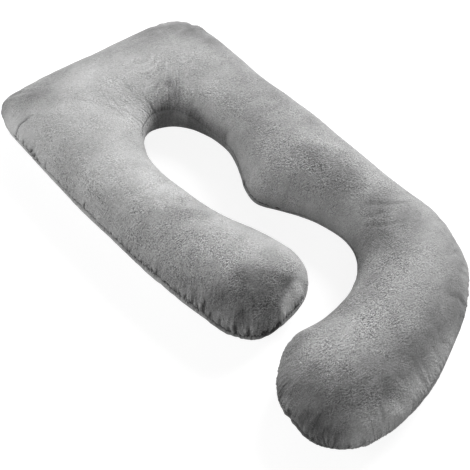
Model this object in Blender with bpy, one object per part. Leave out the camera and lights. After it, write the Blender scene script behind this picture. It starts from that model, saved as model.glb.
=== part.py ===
"""Body pillow for lying on one's side: one long stuffed velour cover, shaped like a lopsided G.

A straight arm runs down the left, a deep head crosses the top, and the right arm
bulges inwards and then hooks round below the end of the straight arm. A top panel
and an underside panel meet in one seam, which runs right round the edge at
mid height. The pillow lies flat: +X is to the right, +Y toward the head and +Z up,
with the origin under the middle of its box, on the surface that it lies on.
"""

import math
from collections import namedtuple

import bmesh
import bpy
import numpy as np
from mathutils import Vector

MM = 0.001  # every size below is in millimetres

# The pillow seen from the side
SEAM_HEIGHT = 80.0  # seam above the surface
UNDER_SHARE = 0.97  # depth of the underside before the surface flattens it, for each mm of crown
FULLNESS = 2.15  # cut across the pillow: 2 is an ellipse, a higher number is fuller
SEAM_BAND = 12.0  # strip above and below the seam that the stitching draws in
SEAM_DRAW = 0.03  # how far it draws the seam in, for each mm of half width

# The round ends, past the first row and past the last
ARM_TIP = 138.0
ARM_TIP_FULLNESS = 2.2
HOOK_TIP = 175.0
HOOK_TIP_FULLNESS = 2.08

# How finely the solid is drawn
STATIONS = 112  # ribs from the first row to the last
TIP_STATIONS = 12  # ribs in each round end, its point included
TOP_STEPS = 8  # points from the seam to the crown
UNDER_STEPS = 6  # points from the seam to the edge of the flat base
WIDEST_BASE_TURN = math.radians(80)  # where an end's underside no longer touches the surface

VELOUR_GREY = (0.30, 0.30, 0.31, 1.0)  # linear
VELOUR_ROUGHNESS = 0.9

# The seam line and the crown, from the end of the straight arm round the head to
# the hook. Each row lies across the pillow, from the seam on the hollow's side to
# the seam on the outer side. Places are in plan, and the crown is above the seam.
Row = namedtuple("Row", "inner_x inner_y outer_x outer_y crown")
ROWS = [
    # straight arm, upwards
    Row(-24, -205, -318, -205, 92),
    Row(-45, -110, -332, -110, 92),
    Row(-85, 0, -339, 0, 90),
    Row(-100, 110, -340, 120, 88),
    Row(-110, 212, -340, 250, 88),
    Row(-101, 290, -338, 390, 90),
    # head, from its left corner to its right one
    Row(-78, 338, -332, 540, 92),
    Row(-63, 361, -322, 664, 92),
    Row(-47, 377, -288, 724, 92),
    Row(-22, 389, -190, 732, 94),
    Row(18, 386, 10, 717, 95),
    Row(53, 360, 160, 700, 94),
    Row(77, 317, 275, 680, 92),
    Row(90, 271, 336, 626, 90),
    # right arm, downwards past the bulge
    Row(96, 225, 346, 535, 88),
    Row(93, 172, 343, 427, 88),
    Row(63, 102, 337, 305, 90),
    Row(38, 57, 343, 178, 94),
    Row(27, 5, 345, 60, 96),
    Row(57, -50, 344, -60, 96),
    Row(96, -122, 340, -158, 92),
    Row(115, -187, 340, -253, 88),
    Row(118, -246, 342, -349, 88),
    # hook, round to the left
    Row(102, -304, 324, -440, 90),
    Row(64, -350, 284, -532, 92),
    Row(9, -384, 191, -614, 94),
    Row(-58, -402, 69, -674, 96),
    Row(-132, -406, -66, -719, 97),
    Row(-190, -395, -175, -731, 97),
]

# One cut across the pillow. A rib of a round end lies `ahead` of the end's row.
Rib = namedtuple("Rib", "middle ahead half crown")


def distances(table):
    """How far along the pillow each row lies, half by its middle and half by its outer end."""
    middle = (table[:, 0:2] + table[:, 2:4]) / 2
    outer = table[:, 2:4]
    steps = [np.linalg.norm(np.diff(line, axis=0), axis=1) for line in (middle, outer)]
    return np.concatenate([[0.0], np.cumsum(sum(steps) / 2)])


def smooth_row(table, at, slope, along):
    """The row at a distance along the smooth curves through the table's columns."""
    k = int(np.clip(np.searchsorted(at, along, side="right") - 1, 0, len(at) - 2))
    span = at[k + 1] - at[k]
    u = (along - at[k]) / span
    before = (1 + 2 * u) * (1 - u) ** 2 * table[k] + u * (1 - u) ** 2 * span * slope[k]
    after = u * u * (3 - 2 * u) * table[k + 1] + u * u * (u - 1) * span * slope[k + 1]
    return before + after


def rib_of(row):
    """The rib that spans a row."""
    inner = Vector(row[0:2])
    outer = Vector(row[2:4])
    return Rib((inner + outer) / 2, Vector((0, 0)), (outer - inner) / 2, row[4])


def round_end(rib, neighbour, length, fullness):
    """Ribs that shrink to a point past the first or the last rib, nearest first."""
    toward = rib.half.orthogonal().normalized()
    if toward.dot(rib.middle - neighbour.middle) < 0:
        toward.negate()
    ribs = []
    for step in range(1, TIP_STATIONS + 1):
        turn = math.pi / 2 * step / TIP_STATIONS
        ahead = toward * length * math.sin(turn) ** (2 / fullness)
        share = max(math.cos(turn), 0.0) ** (2 / fullness)
        ribs.append(Rib(rib.middle, ahead, rib.half * share, rib.crown * share))
    return ribs


def all_ribs():
    """Every rib, from the point of the straight arm to the point of the hook."""
    table = np.array(ROWS, dtype=float)
    at = distances(table)
    slope = np.gradient(table, at, axis=0)
    body = [rib_of(smooth_row(table, at, slope, along)) for along in np.linspace(0, at[-1], STATIONS)]
    arm_end = round_end(body[0], body[1], ARM_TIP, ARM_TIP_FULLNESS)
    hook_end = round_end(body[-1], body[-2], HOOK_TIP, HOOK_TIP_FULLNESS)
    return arm_end[::-1] + body + hook_end


def place(rib, across, rise):
    """The point `across` half widths toward the outer seam and `rise` above the seam."""
    nearness = max(0.0, 1.0 - abs(rise) / SEAM_BAND)
    reach = 1.0 - SEAM_DRAW * nearness**2
    plan = rib.middle + (rib.ahead + rib.half * across) * reach
    return Vector((plan.x, plan.y, max(SEAM_HEIGHT + rise, 0.0))) * MM


def turns_to(last, steps):
    """Angles from the seam to `last`, closest together at the seam."""
    return [last * (step / steps) ** 1.5 for step in range(steps + 1)]


def ring(rib):
    """Points round a rib: over the top to the outer seam, and back along the underside."""
    under_depth = rib.crown * UNDER_SHARE
    base_share = min(SEAM_HEIGHT / under_depth, 1.0)
    base_turn = min(math.asin(base_share ** (FULLNESS / 2)), WIDEST_BASE_TURN)
    top = turns_to(math.pi / 2, TOP_STEPS)
    under = turns_to(base_turn, UNDER_STEPS) + [math.pi / 2]
    quarters = (
        (-1, rib.crown, top),
        (1, rib.crown, top[-2::-1]),
        (1, -under_depth, under[1:]),
        (-1, -under_depth, under[-2:0:-1]),
    )
    points = []
    for side, depth, turns in quarters:
        for turn in turns:
            across = side * abs(math.cos(turn)) ** (2 / FULLNESS)
            rise = depth * math.sin(turn) ** (2 / FULLNESS)
            points.append(place(rib, across, rise))
    return points


def loft(bm, ribs):
    """Skin the ribs, each end closed at its point."""
    start, *between, finish = ribs
    rings = [[bm.verts.new(point) for point in ring(rib)] for rib in between]
    for here, there in zip(rings, rings[1:]):
        for k in range(len(here)):
            bm.faces.new((here[k - 1], here[k], there[k], there[k - 1]))
    for rib, edge in ((start, rings[0]), (finish, rings[-1])):
        point = bm.verts.new(place(rib, 0.0, 0.0))
        for k in range(len(edge)):
            bm.faces.new((edge[k - 1], edge[k], point))
    bmesh.ops.recalc_face_normals(bm, faces=bm.faces)


def centre_in_plan(bm):
    """Bring the middle of the plan to the origin."""
    corners = [[pick(v.co[axis] for v in bm.verts) for axis in (0, 1)] for pick in (min, max)]
    middle = (Vector(corners[0]) + Vector(corners[1])) / 2
    bmesh.ops.translate(bm, verts=bm.verts, vec=(-middle.x, -middle.y, 0.0))


def velour():
    """Grey short-pile velour, which is soft and has no shine."""
    material = bpy.data.materials.new("grey_velour")
    material.use_nodes = True
    shader = material.node_tree.nodes["Principled BSDF"]
    shader.inputs["Base Color"].default_value = VELOUR_GREY
    shader.inputs["Roughness"].default_value = VELOUR_ROUGHNESS
    shader.inputs["Metallic"].default_value = 0.0
    return material


def pillow():
    """The stuffed cover, as one solid."""
    bm = bmesh.new()
    loft(bm, all_ribs())
    centre_in_plan(bm)
    mesh = bpy.data.meshes.new("pillow")
    bm.to_mesh(mesh)
    bm.free()
    mesh.shade_smooth()
    mesh.materials.append(velour())
    return bpy.data.objects.new("pillow", mesh)


def main():
    for obj in list(bpy.data.objects):
        bpy.data.objects.remove(obj)
    collection = bpy.data.collections.new("body_pillow")
    bpy.context.scene.collection.children.link(collection)
    collection.objects.link(pillow())


main()
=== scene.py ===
"""Body pillow: the looks of the stuffed velour cover around its CAD solid.

The cover is puffed by a cloth simulation that starts from the CAD solid, and is
then drawn again as spokes that run from the middle of the pillow over the seam,
so that the seam's groove and its gathers can be sewn in at their real size.
Lengths are in metres unless a name or a table says mm.
"""

import math
import random
from collections import namedtuple

import bmesh
import bpy
import numpy as np
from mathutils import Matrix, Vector, kdtree, noise
from mathutils.bvhtree import BVHTree


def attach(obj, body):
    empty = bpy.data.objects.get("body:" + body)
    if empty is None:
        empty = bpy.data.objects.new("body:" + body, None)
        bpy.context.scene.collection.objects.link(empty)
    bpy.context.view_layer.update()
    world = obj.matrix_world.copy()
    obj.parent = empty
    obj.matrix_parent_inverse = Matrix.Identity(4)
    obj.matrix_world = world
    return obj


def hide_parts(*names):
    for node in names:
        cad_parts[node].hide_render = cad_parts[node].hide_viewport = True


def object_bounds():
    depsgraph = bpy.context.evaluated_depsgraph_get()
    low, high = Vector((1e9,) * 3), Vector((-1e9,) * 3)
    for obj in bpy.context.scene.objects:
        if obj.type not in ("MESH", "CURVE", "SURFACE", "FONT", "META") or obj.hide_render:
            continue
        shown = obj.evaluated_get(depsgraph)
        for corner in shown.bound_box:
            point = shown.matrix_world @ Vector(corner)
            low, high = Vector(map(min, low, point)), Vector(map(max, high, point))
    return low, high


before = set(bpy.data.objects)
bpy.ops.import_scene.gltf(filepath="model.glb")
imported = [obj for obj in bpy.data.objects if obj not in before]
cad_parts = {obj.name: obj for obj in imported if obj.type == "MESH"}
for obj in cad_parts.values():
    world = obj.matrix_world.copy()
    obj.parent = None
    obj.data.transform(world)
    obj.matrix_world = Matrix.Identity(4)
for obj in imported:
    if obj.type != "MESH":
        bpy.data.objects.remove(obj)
CAD_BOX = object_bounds()

bl_info = {
    "name": "Body pillow",
    "version": (1, 0, 0),
    "blender": (4, 5, 0),
    "location": "3D View > Sidebar > Body pillow",
    "description": "Makes a stuffed velour body pillow, its seam and a plain studio",
    "category": "Object",
}

MM = 0.001
NODE = "pillow"

# The CAD solid
CROWN = CAD_BOX[1].z / 2  # about how far its top is above the seam
END_RIBS = 12  # ribs in each of its round ends, the point included
SAME_POINT = 1e-5  # closer than this, two of its points are one
SAME_HEIGHT = 2e-5  # nearer than this to the seam's height, a point is on the seam

# How closely the cover is drawn
FINE_STEP = 1.5 * MM  # between spokes along the seam, where it is gathered
PLAIN_STEP = 4.6 * MM  # between spokes elsewhere
FINE_FROM = 0.25  # gathers of this strength and more are drawn with the fine step
TOP_POINTS = 20  # along a spoke, from the middle of the top to the seam
UNDER_POINTS = 14  # along a spoke, from the seam to the middle of the underside
# The side of each point of a spoke: 1 on the top, -1 on the underside
SIDE = np.where(np.arange(TOP_POINTS + 1 + UNDER_POINTS) > TOP_POINTS, -1.0, 1.0)
FULLNESS = 2.15  # the superellipse that spaces them
SEAM_CROWDING = 1.6  # how much closer together they lie at the seam
SEAM_SAMPLE = 1 * MM  # between the places where the step is worked out
WELD = 1e-6  # closer than this, two points of the cover are one

# The cloth and its filling
PLAIN_EASE = 0.35  # share of the ease that is sewn in where the seam isn't gathered
LUMP_LAYERS = ((1.0, 1.0), (2.3, 0.45))  # how fine the lumps are, and their share of the height
SEAM_HOLD = 0.6  # share of the swelling that the seam holds back

# Where the seam gathers the cloth. Places are in plan, and all sizes are in mm: how
# far along the seam the zone reaches, how deep its soft folds, its wrinkles and the
# pits at the seam itself are, how far they run in from the seam, how far apart they
# are, and how far along the seam they lean for each mm away from it.
Gather = namedtuple("Gather", "x y reach folds wrinkles pits length pitch lean", defaults=(0.0,))
GATHERS = [Gather(*row) for row in (
    # left corner of the head and the straight arm's outer side
    (-335, 540, 110, 1.5, 2.4, 3.0, 44, 9),
    (-335, 300, 150, 1.2, 2.3, 1.8, 60, 8),
    (-335, 90, 110, 1.8, 2.8, 2.6, 66, 8),
    (-332, -20, 90, 2.4, 3.0, 3.4, 70, 8),
    (-322, -160, 120, 1.6, 2.6, 4.0, 90, 8, -0.4),
    # end of the straight arm
    (-262, -300, 110, 1.6, 3.2, 2.6, 120, 8),
    (-190, -340, 90, 1.4, 2.0, 3.5, 62, 9),
    (-100, -320, 90, 1.0, 2.0, 2.0, 50, 8),
    # the hollow's top and the bulge
    (-10, 390, 90, 0.3, 1.2, 0.3, 170, 7, 0.1),
    (60, 370, 90, 0.8, 1.3, 0.2, 240, 7, 0.5),
    (95, 300, 90, 0.4, 1.2, 0.3, 150, 7, 0.3),
    (30, 5, 70, 1.0, 1.5, 2.6, 30, 10),
    # the hook, round its end
    (-250, -400, 90, 0.8, 1.8, 1.5, 80, 7),
    (-325, -500, 120, 1.0, 3.8, 2.0, 110, 7),
    (-335, -640, 110, 1.2, 3.2, 2.5, 100, 8),
    (-230, -725, 120, 1.6, 3.6, 2.5, 130, 7),
    (-70, -715, 140, 1.0, 1.6, 2.0, 90, 9),
    (200, -600, 140, 1.2, 1.2, 1.2, 60, 11),
    # far corners of the head
    (320, 640, 120, 1.2, 1.2, 1.2, 45, 10),
    (-280, 720, 90, 1.2, 1.2, 1.2, 40, 10),
)]
PLAIN_GATHER = Gather(0, 0, 0, 0.6, 0.9, 0.9, 30, 13)  # everywhere else
ZONE_FADE = 2.0  # how fast a zone fades away from its middle
ZONE_CHOICE = 4  # how far the nearest zone outweighs the others
# How the three kinds differ in pitch and length, how far they lean, and how dark the painted shade
# in their valleys is
GatherKind = namedtuple("GatherKind", "pitch length lean shade")
GATHER_KINDS = (
    GatherKind(3.2, 1.15, 0.4, 0.15),
    GatherKind(1.1, 0.55, 0.3, 0.35),
    GatherKind(1.0, 0.22, 0.2, 0.8),
)
# How far chance varies them, as shares of the zone's own sizes
GATHER_SEED = 7
STEP_RANGE = (0.65, 1.35)
DEPTH_RANGE = (0.3, 1.0)
DEPTH_SKEW = 1.3  # above 1, more of them are shallow
DEPTH_SHARE = 1.3
LENGTH_RANGE = (0.6, 1.2)
HALF_WIDTH_RANGE = (0.19, 0.30)  # as shares of the step
UNDER_RANGE = (0.0, 0.4)  # depth below the seam, as a share of that above
# A valley's ridges: their height as a share of its depth, and where they lie in half widths
Ridge = namedtuple("Ridge", "height at sharpness")
GATHER_RIDGE = Ridge(0.45, 1.7, 1.6)
GATHER_WIDENING = 0.4  # how much wider a valley is at its far end
GATHER_FADE = 1.6  # above 1, it keeps its depth longer and then fades faster
GATHER_REACH = 4  # half widths past which a valley does nothing
SPINE_FADE = 25 * MM  # over which a long gather fades out before the pillow's middle line
# A valley's painted shade is darkest from this depth on.
DARKEST_AT = 3.0 * MM  # depth at which a valley looks darkest

# The deepest pits, each placed at the seam (mm), with its lean as above
Pit = namedtuple("Pit", "x y width depth length under lean", defaults=(0.0,))
PITS = [Pit(*row) for row in (
    # left corner of the head
    (-318, 604, 4, 5.0, 12, 0.8),
    (-319, 582, 3, 2.5, 26, 0.1, -0.4),
    (-319, 562, 4, 5.0, 30, 0.3, -0.35),
    (-319, 545, 3, 4.0, 20, 0.6, -0.2),
    (-319, 528, 4, 5.0, 28, 0.3, 0.1),
    (-319, 508, 4, 5.5, 24, 0.3, 0.1),
    (-320, 490, 4, 3.5, 18, 0.3),
    (-324, 455, 5, 3.0, 38, 0.0),
    (-327, 350, 4, 2.5, 20, 0.0),
    (-328, 268, 3, 4.0, 34, 0.1),
    # straight arm's outer side
    (-328, 130, 4, 2.5, 26, 0.1, 0.3),
    (-328, 112, 3, 1.5, 18, 0.1, 0.5),
    (-328, 80, 4, 2.0, 14, 0.2, 0.6),
    (-327, 55, 3, 2.5, 16, 0.2, 0.6),
    (-329, 31, 5, 4.5, 18, 0.2, 0.5),
    (-329, 12, 4, 3.5, 24, 0.1, 0.6),
    (-328, -9, 5, 5.0, 14, 0.1, 0.6),
    (-327, -22, 3, 2.5, 34, 0.0, 0.7),
    # end of the straight arm
    (-317, -112, 4, 2.0, 14, 0.0, 0.2),
    (-316, -132, 3, 3.5, 24, 0.1),
    (-312, -155, 3, 2.0, 30, 0.0, -0.3),
    (-309, -176, 4, 3.5, 20, 0.1, -0.4),
    (-306, -197, 5, 5.0, 44, 0.1, -0.3),
    (-304, -216, 3, 2.5, 26, 0.0, -0.2),
    (-299, -245, 4, 3.0, 34, 0.0, -0.2),
    (-290, -270, 4, 4.0, 24, 0.1),
    (-280, -286, 4, 4.5, 40, 0.2),
    (-264, -306, 4, 5.0, 34, 0.1),
    (-229, -326, 6, 6.0, 20, 0.5),
    (-192, -335, 6, 4.5, 16, 0.4),
    (-128, -332, 4, 2.5, 16, 0.1),
    # bulge
    (53, 60, 5, 4.5, 18, 0.8),
    (47, 38, 4, 3.0, 14, 0.5),
    (70, -47, 5, 3.0, 14, 0.5),
    # hook
    (-317, -473, 4, 2.5, 36, 0.3),
    (-331, -500, 4, 3.0, 24, 0.3),
    (-341, -543, 7, 6.5, 30, 1.0),
    (-338, -606, 5, 3.0, 24, 0.6),
    (-289, -688, 4, 3.0, 36, 0.4),
    (-262, -702, 5, 3.5, 40, 0.5),
)]
PIT_LEAN = 0.15  # how far chance turns a pit
# how dark the painted shade in a pit is, against its depth
PIT_SHADE = 0.75

# The seam lies higher where the hollow's inner curve pulls it up, and lower where
# the filling sags over it, all in mm.
SeamRise = namedtuple("SeamRise", "x y reach height")
HOLLOW_TOP = SeamRise(45, 388, 115, 36)
SEAM_RISES = [HOLLOW_TOP] + [SeamRise(*row) for row in (
    (-335, -60, 150, 9),
    (-262, -308, 70, -14),
    (72, -60, 80, -26),
    (112, -200, 100, -22),
    (-325, -650, 90, -16),
    (-200, -725, 110, -16),
)]
SEAM_WOBBLE = 4 * MM  # how far it strays up and down besides
SEAM_WOBBLE_SIZE = 45 * MM

# Where the seam hardly shows, reach in mm
HiddenSeam = namedtuple("HiddenSeam", "x y reach")
HIDDEN_SEAM = (HiddenSeam(45, 388, 115), HiddenSeam(104, 240, 80), HiddenSeam(105, -180, 110))
HIDDEN_GROOVE = 0.8  # share of its groove that is gone there
HIDDEN_SHADE = 0.9  # share of its darkness that is gone there
GROOVE_SHARPNESS = 1.6
# The seam's groove gets painted shade out to this distance from it.
SEAM_SHADE = 2.2 * MM  # how far from the seam its groove still looks dark

# The fine wrinkles beside the seam, drawn as a bump and as streaks of painted light and shade
PLAIN_STREAKS = 0.2  # strength where the seam isn't gathered
STREAK_LENGTH = 1.3  # as a share of the gathers' length
# Over the hollow's top they start above its wall, and are strongest from twice its height.
HOLLOW_WALL = 40 * MM
WALL_STREAKS = -0.4  # what they lose on the wall
HOLLOW_STREAKS = 1.2  # what they gain above it

# Where the filling swells the top or the underside out beside the seam, or leaves it
# slack where that is below 0 (mm)
Swell = namedtuple("Swell", "x y reach top under")
SWELLS = [Swell(*row) for row in (
    # left corner, the straight arm's outer side and its end
    (-300, 690, 50, 7, 6),
    (-335, 330, 170, 1, 4),
    (-335, 60, 170, 1, 3),
    (-315, -180, 110, 0, 2),
    (-265, -305, 60, 4, 2),
    (-245, -325, 40, 2, 5),
    (-80, -265, 40, 4, 3),
    (-128, -332, 45, -7, -4),
    # hook
    (-285, -432, 60, -8, -8),
    (-325, -645, 90, 5, 5),
    (-340, -620, 50, 3, 4),
    (-342, -560, 32, -5, -5),
    (-215, -728, 35, -3, -5),
    (-250, -710, 80, 2, 3),
    (0, -715, 150, 2, 3),
    # inner sides of the hollow, the channel and the hook's hollow
    (-90, 150, 100, -3, -3),
    (-90, -70, 60, -3, -3),
    (90, 330, 110, -2, -3),
    (80, -60, 90, -4, -4),
    (110, -200, 110, -4, -4),
    (20, -380, 120, -2, -2),
    # far sides
    (-200, 715, 90, 4, 0),
    (250, 700, 120, 4, 0),
    (340, 430, 140, 3, 0),
    (345, 250, 90, 4, 0),
    (345, 90, 80, 5, 0),
    (335, -380, 70, 4, 0),
)]

# Single creases on the top, by their places in plan (mm), nearest the seam first,
# and how dark the painted shade in them is
Crease = namedtuple("Crease", "points width depth shade")
CREASES = [Crease(*row) for row in (
    (((-326, 602), (-314, 599), (-302, 598), (-288, 591), (-274, 584)), 3.2, 2.8, 1.0),
    (((-262, -640), (-230, -652), (-190, -650)), 8.0, 1.4, 0.3),
    (((198, -252), (213, -269), (228, -287), (247, -304), (300, -322)), 6.0, 1.8, 0.45),
    (((172, -278), (207, -308), (225, -318)), 5.0, 1.2, 0.35),
    (((152, -292), (162, -307), (177, -330), (215, -360)), 6.0, 1.7, 0.45),
    (((-228, 126), (-200, 115), (-175, 112)), 4.0, 1.0, 0.35),
    (((201, -204), (241, -227), (271, -264)), 9.0, 1.0, 0.2),
)]
CREASE_RIDGE = Ridge(0.35, 1.8, 1.5)
CREASE_STEPS = 40
CREASE_START = 0.12  # above 0, a crease is already cut in at its first point
CREASE_BLUNTNESS = 0.7  # below 1, its depth changes faster near its ends

# Where the pile was brushed one way, and where light and shade are painted on, in plan
# (mm): lighter above 0, darker below. A stroke's edge fades softly at 2, and is crisper above that.
Stroke = namedtuple("Stroke", "points width tone edge", defaults=(2,))
NAP_AND_PAINTED_SHADING = [Stroke(*row) for row in (
    # head
    (((-210, 600), (-90, 552), (-74, 450)), 95, 0.4),
    (((-338, 550), (-335, 520)), 20, -0.7),
    (((0, 600), (110, 520), (190, 450)), 90, 0.3),
    (((-235, 560), (-190, 440)), 70, 0.3),
    (((-310, 640), (-318, 590)), 45, 0.5),
    (((-300, 500), (-300, 450)), 45, 0.25),
    (((-280, 690), (-200, 640), (-130, 680)), 48, -0.45),
    (((201, 625), (287, 560), (60, 640)), 50, -0.35),
    (((300, 560), (310, 440), (270, 300), (300, 180)), 45, -0.3),
    (((122, 365), (112, 350)), 28, 0.25),
    (((-250, 620), (-215, 590)), 40, -0.3),
    (((-40, 665), (-10, 640)), 35, -0.3),
    (((180, 650), (225, 600)), 32, -0.3),
    (((-100, 575), (-135, 480)), 40, 0.25),
    (((-70, 412), (-40, 410), (-12, 406)), 20, 0.3),
    (((165, 335), (128, 290), (122, 190)), 26, 0.45),
    (((-225, 640), (-190, 600), (-220, 565)), 30, -0.2),
    (((292, 480), (282, 440)), 24, -0.3),
    (((-275, 680), (-312, 640)), 24, 0.25),
    (((245, 345), (225, 325)), 24, 0.2),
    (((-165, 455), (-178, 440)), 22, -0.18),
    # round the hollow's top, with painted shade above the seam and on its wall
    (((14, 395), (38, 389), (60, 374), (78, 348)), 13, -0.38, 3),
    (((84, 326), (97, 264), (101, 208)), 13, -0.78, 3),
    (((18, 410), (52, 396), (82, 390), (100, 425)), 17, -0.45),
    (((-60, 448), (-25, 436)), 24, 0.2),
    # straight arm
    (((-250, 420), (-240, 200)), 80, 0.2),
    (((-186, 300), (-195, 200), (-160, 110)), 60, 0.38),
    (((-270, 330), (-290, 200), (-270, 90)), 60, 0.2),
    (((-150, -40), (-115, -150)), 45, 0.4),
    # darker nap and painted shade on the arm's end, where it turns down
    (((-290, -232), (-235, -258), (-195, -240), (-200, -300), (-158, -274), (-136, -300)),
     46, -0.78, 4),
    # painted reflected light on the arm's end
    (((-104, -316), (-140, -330), (-170, -345)), 17, 1.15, 4),
    (((-110, -297), (-124, -304)), 14, -0.35, 3),
    (((-325, -60), (-312, -160)), 22, -0.3),
    (((-318, -200), (-306, -235), (-294, -266)), 18, 0.3),
    (((-268, -302), (-250, -318)), 20, -0.25),
    (((-190, 330), (-130, 235)), 28, 0.2),
    (((-265, 85), (-234, 68), (-185, 30), (-145, -5)), 22, -0.3, 4),
    (((-290, 0), (-230, -55), (-170, -100)), 45, 0.12),
    (((-205, 145), (-165, 125), (-125, 100)), 22, 0.2, 3),
    (((-335, 190), (-335, 60)), 18, -0.3),
    (((-290, 300), (-285, 270)), 30, 0.3),
    (((-175, 190), (-215, 60)), 35, 0.15),
    (((-45, -190), (-52, -250)), 25, 0.25),
    # right arm
    (((208, -42), (202, -100), (212, -165)), 38, -0.48, 3),
    (((165, 150), (105, 90)), 30, -0.2),
    (((295, 75), (290, 50)), 22, -0.25),
    (((155, -20), (120, -60)), 35, -0.15),
    (((128, -160), (175, -155), (150, -190)), 30, -0.3),
    (((240, -15), (275, -50)), 22, 0.35),
    (((70, 100), (55, 40), (75, -50), (120, -180), (135, -260)), 30, 0.3),
    (((188, 143), (183, 85)), 40, -0.2),
    (((122, -268), (124, -300)), 26, -0.2),
    (((252, -205), (246, -225)), 24, 0.2),
    (((50, 30), (40, 0)), 22, 0.35),
    (((222, -268), (170, -340), (247, -358)), 40, -0.38),
    # hook
    (((-100, -500), (-190, -540)), 55, 0.2),
    (((110, -650), (60, -680)), 25, 0.3),
    (((300, -450), (240, -530), (170, -580)), 25, -0.25),
    (((35, -430), (0, -448)), 25, -0.25),
    (((105, -350), (40, -430), (-40, -470)), 40, -0.15),
    (((52, -478), (44, -488)), 26, 0.2),
    (((130, -340), (120, -410)), 28, -0.25),
    (((-205, -428), (-240, -440)), 36, -0.45),
    (((-60, -420), (-125, -425)), 25, -0.45),
    (((-348, -592), (-308, -620), (-272, -604)), 30, -0.4),
    (((-140, -600), (-180, -575)), 25, -0.25),
    (((5, -600), (-20, -598)), 26, 0.25),
    (((75, -672), (20, -690), (-40, -704)), 20, 0.25),
    (((-215, -660), (-190, -670), (-165, -688)), 24, -0.2),
    (((-330, -602), (-340, -612)), 22, -0.38),
    (((-342, -550), (-340, -540)), 18, -0.2),
    (((-240, -702), (-188, -718)), 22, 0.2),
    (((-150, -472), (-104, -434)), 26, -0.18),
    (((15, -660), (5, -664)), 18, 0.2),
    (((-205, -466), (-220, -474)), 22, 0.2),
    (((-75, -468), (-90, -474)), 22, -0.18),
    (((0, -682), (-58, -684)), 24, -0.38),
    (((150, -615), (20, -640), (-80, -640), (-160, -675)), 44, -0.6),
    # painted shade on the hook's end and its lower edge, where they turn down
    (((-320, -500), (-268, -560), (-245, -600), (-262, -645)), 50, -0.6),
    (((-352, -585), (-340, -650), (-310, -690)), 22, -0.7),
    # painted light along the hook's lower rim
    (((-200, -728), (-120, -724)), 22, 0.4),
    (((-290, -710), (-240, -715), (-180, -718), (-130, -718), (0, -690)), 30, 0.65),
)]
# Where the pile stands up and its grain shows more, or lies flat where that is below 0
RAISED = [Stroke(*row) for row in (
    (((-190, 590), (0, 600), (180, 560), (250, 470)), 120, -0.55),
    (((-300, 480), (-310, 300), (-305, 100), (-290, -60), (-290, -160)), 42, 1.1),
    (((-180, -80), (-230, -220), (-205, -300), (-140, -265)), 75, 0.9),
    (((-125, -40), (-95, -120), (-80, -200)), 45, -0.8),
    (((-104, -312), (-140, -328), (-170, -342)), 28, -1.2, 3),
    (((140, 280), (150, 200)), 40, 0.5),
    (((90, 0), (150, -60), (240, -140), (270, -200)), 60, 0.8),
    (((180, 90), (200, 20)), 60, 0.4),
    (((60, -440), (-100, -500), (-240, -520)), 105, 1.0),
    (((280, -400), (230, -500), (120, -620), (0, -660), (-120, -690)), 60, -0.8),
)]
BRUSH_WARP = 15.0  # mm that the edges of the strokes wander
BRUSH_WARP_SIZE = 90 * MM
BRUSH_WARP_SHARE = 0.3  # the most that they wander, as a share of the stroke's width
BRUSH_WARP_SEED = 1  # fixes Blender's vector noise, which otherwise starts from the clock
STROKE_SPREAD = 1.1  # where a stroke has faded to about a third, as a share of its width
STROKE_STEP = 0.25  # between the points along it, as a share of its width
NAP_AND_PAINTED_SHADING_LIMITS = (-1.0, 1.3)

# The velour's grain: how large its tufts are as shares of the grain's size, how far
# each size stands up, and how much it lightens the tips
Tuft = namedtuple("Tuft", "size relief tone")
TUFTS = (Tuft(1.0, 2.2, 0.5), Tuft(0.66, 1.6, 1.0), Tuft(0.36, 0.3, 1.2))

# The thread
STITCH_SHARE = 0.9  # of the pitch, which a stitch covers
STITCH_WOBBLE = 0.12  # radians
STRAND_SHADE = 0.7  # of the thread between its strands, against their own

# The studio
FLOOR_SIZE = 60.0
FLOOR_GLOW = 0.88
SENSOR = 36.0  # mm
# Soft boxes round the pillow: the direction each shines from, as a heading clockwise
# from +Y and a height above the floor (degrees), its size and distance (m) and power (W)
Light = namedtuple("Light", "name heading height size distance power")
LIGHTS = [Light(*row) for row in (
    ("key", 84, 36, 2.4, 4.0, 214.0),
    ("left", 305, 11, 2.0, 4.0, 108.0),
    ("back", 30, 26, 2.0, 4.0, 25.0),
    ("front", 221, 42, 3.0, 4.0, 20.0),
    ("low", 221, 5, 1.2, 3.0, 14.0),
)]
FILL = 0.06  # light from all round


def linear(code):
    """The linear colour of an sRGB hex value."""
    channels = [int(code[i : i + 2], 16) / 255 for i in (0, 2, 4)]
    return tuple(c / 12.92 if c <= 0.04045 else ((c + 0.055) / 1.055) ** 2.4 for c in channels)


def length_prop(name, description, default):
    """A length in metres that a user can set."""
    return bpy.props.FloatProperty(
        name=name, description=description, default=default, unit="LENGTH"
    )


def colour_prop(name, description, code):
    """A colour that a user can set, with its default as an sRGB hex value."""
    return bpy.props.FloatVectorProperty(
        name=name, description=description, default=linear(code), subtype="COLOR", min=0.0, max=1.0
    )


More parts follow.
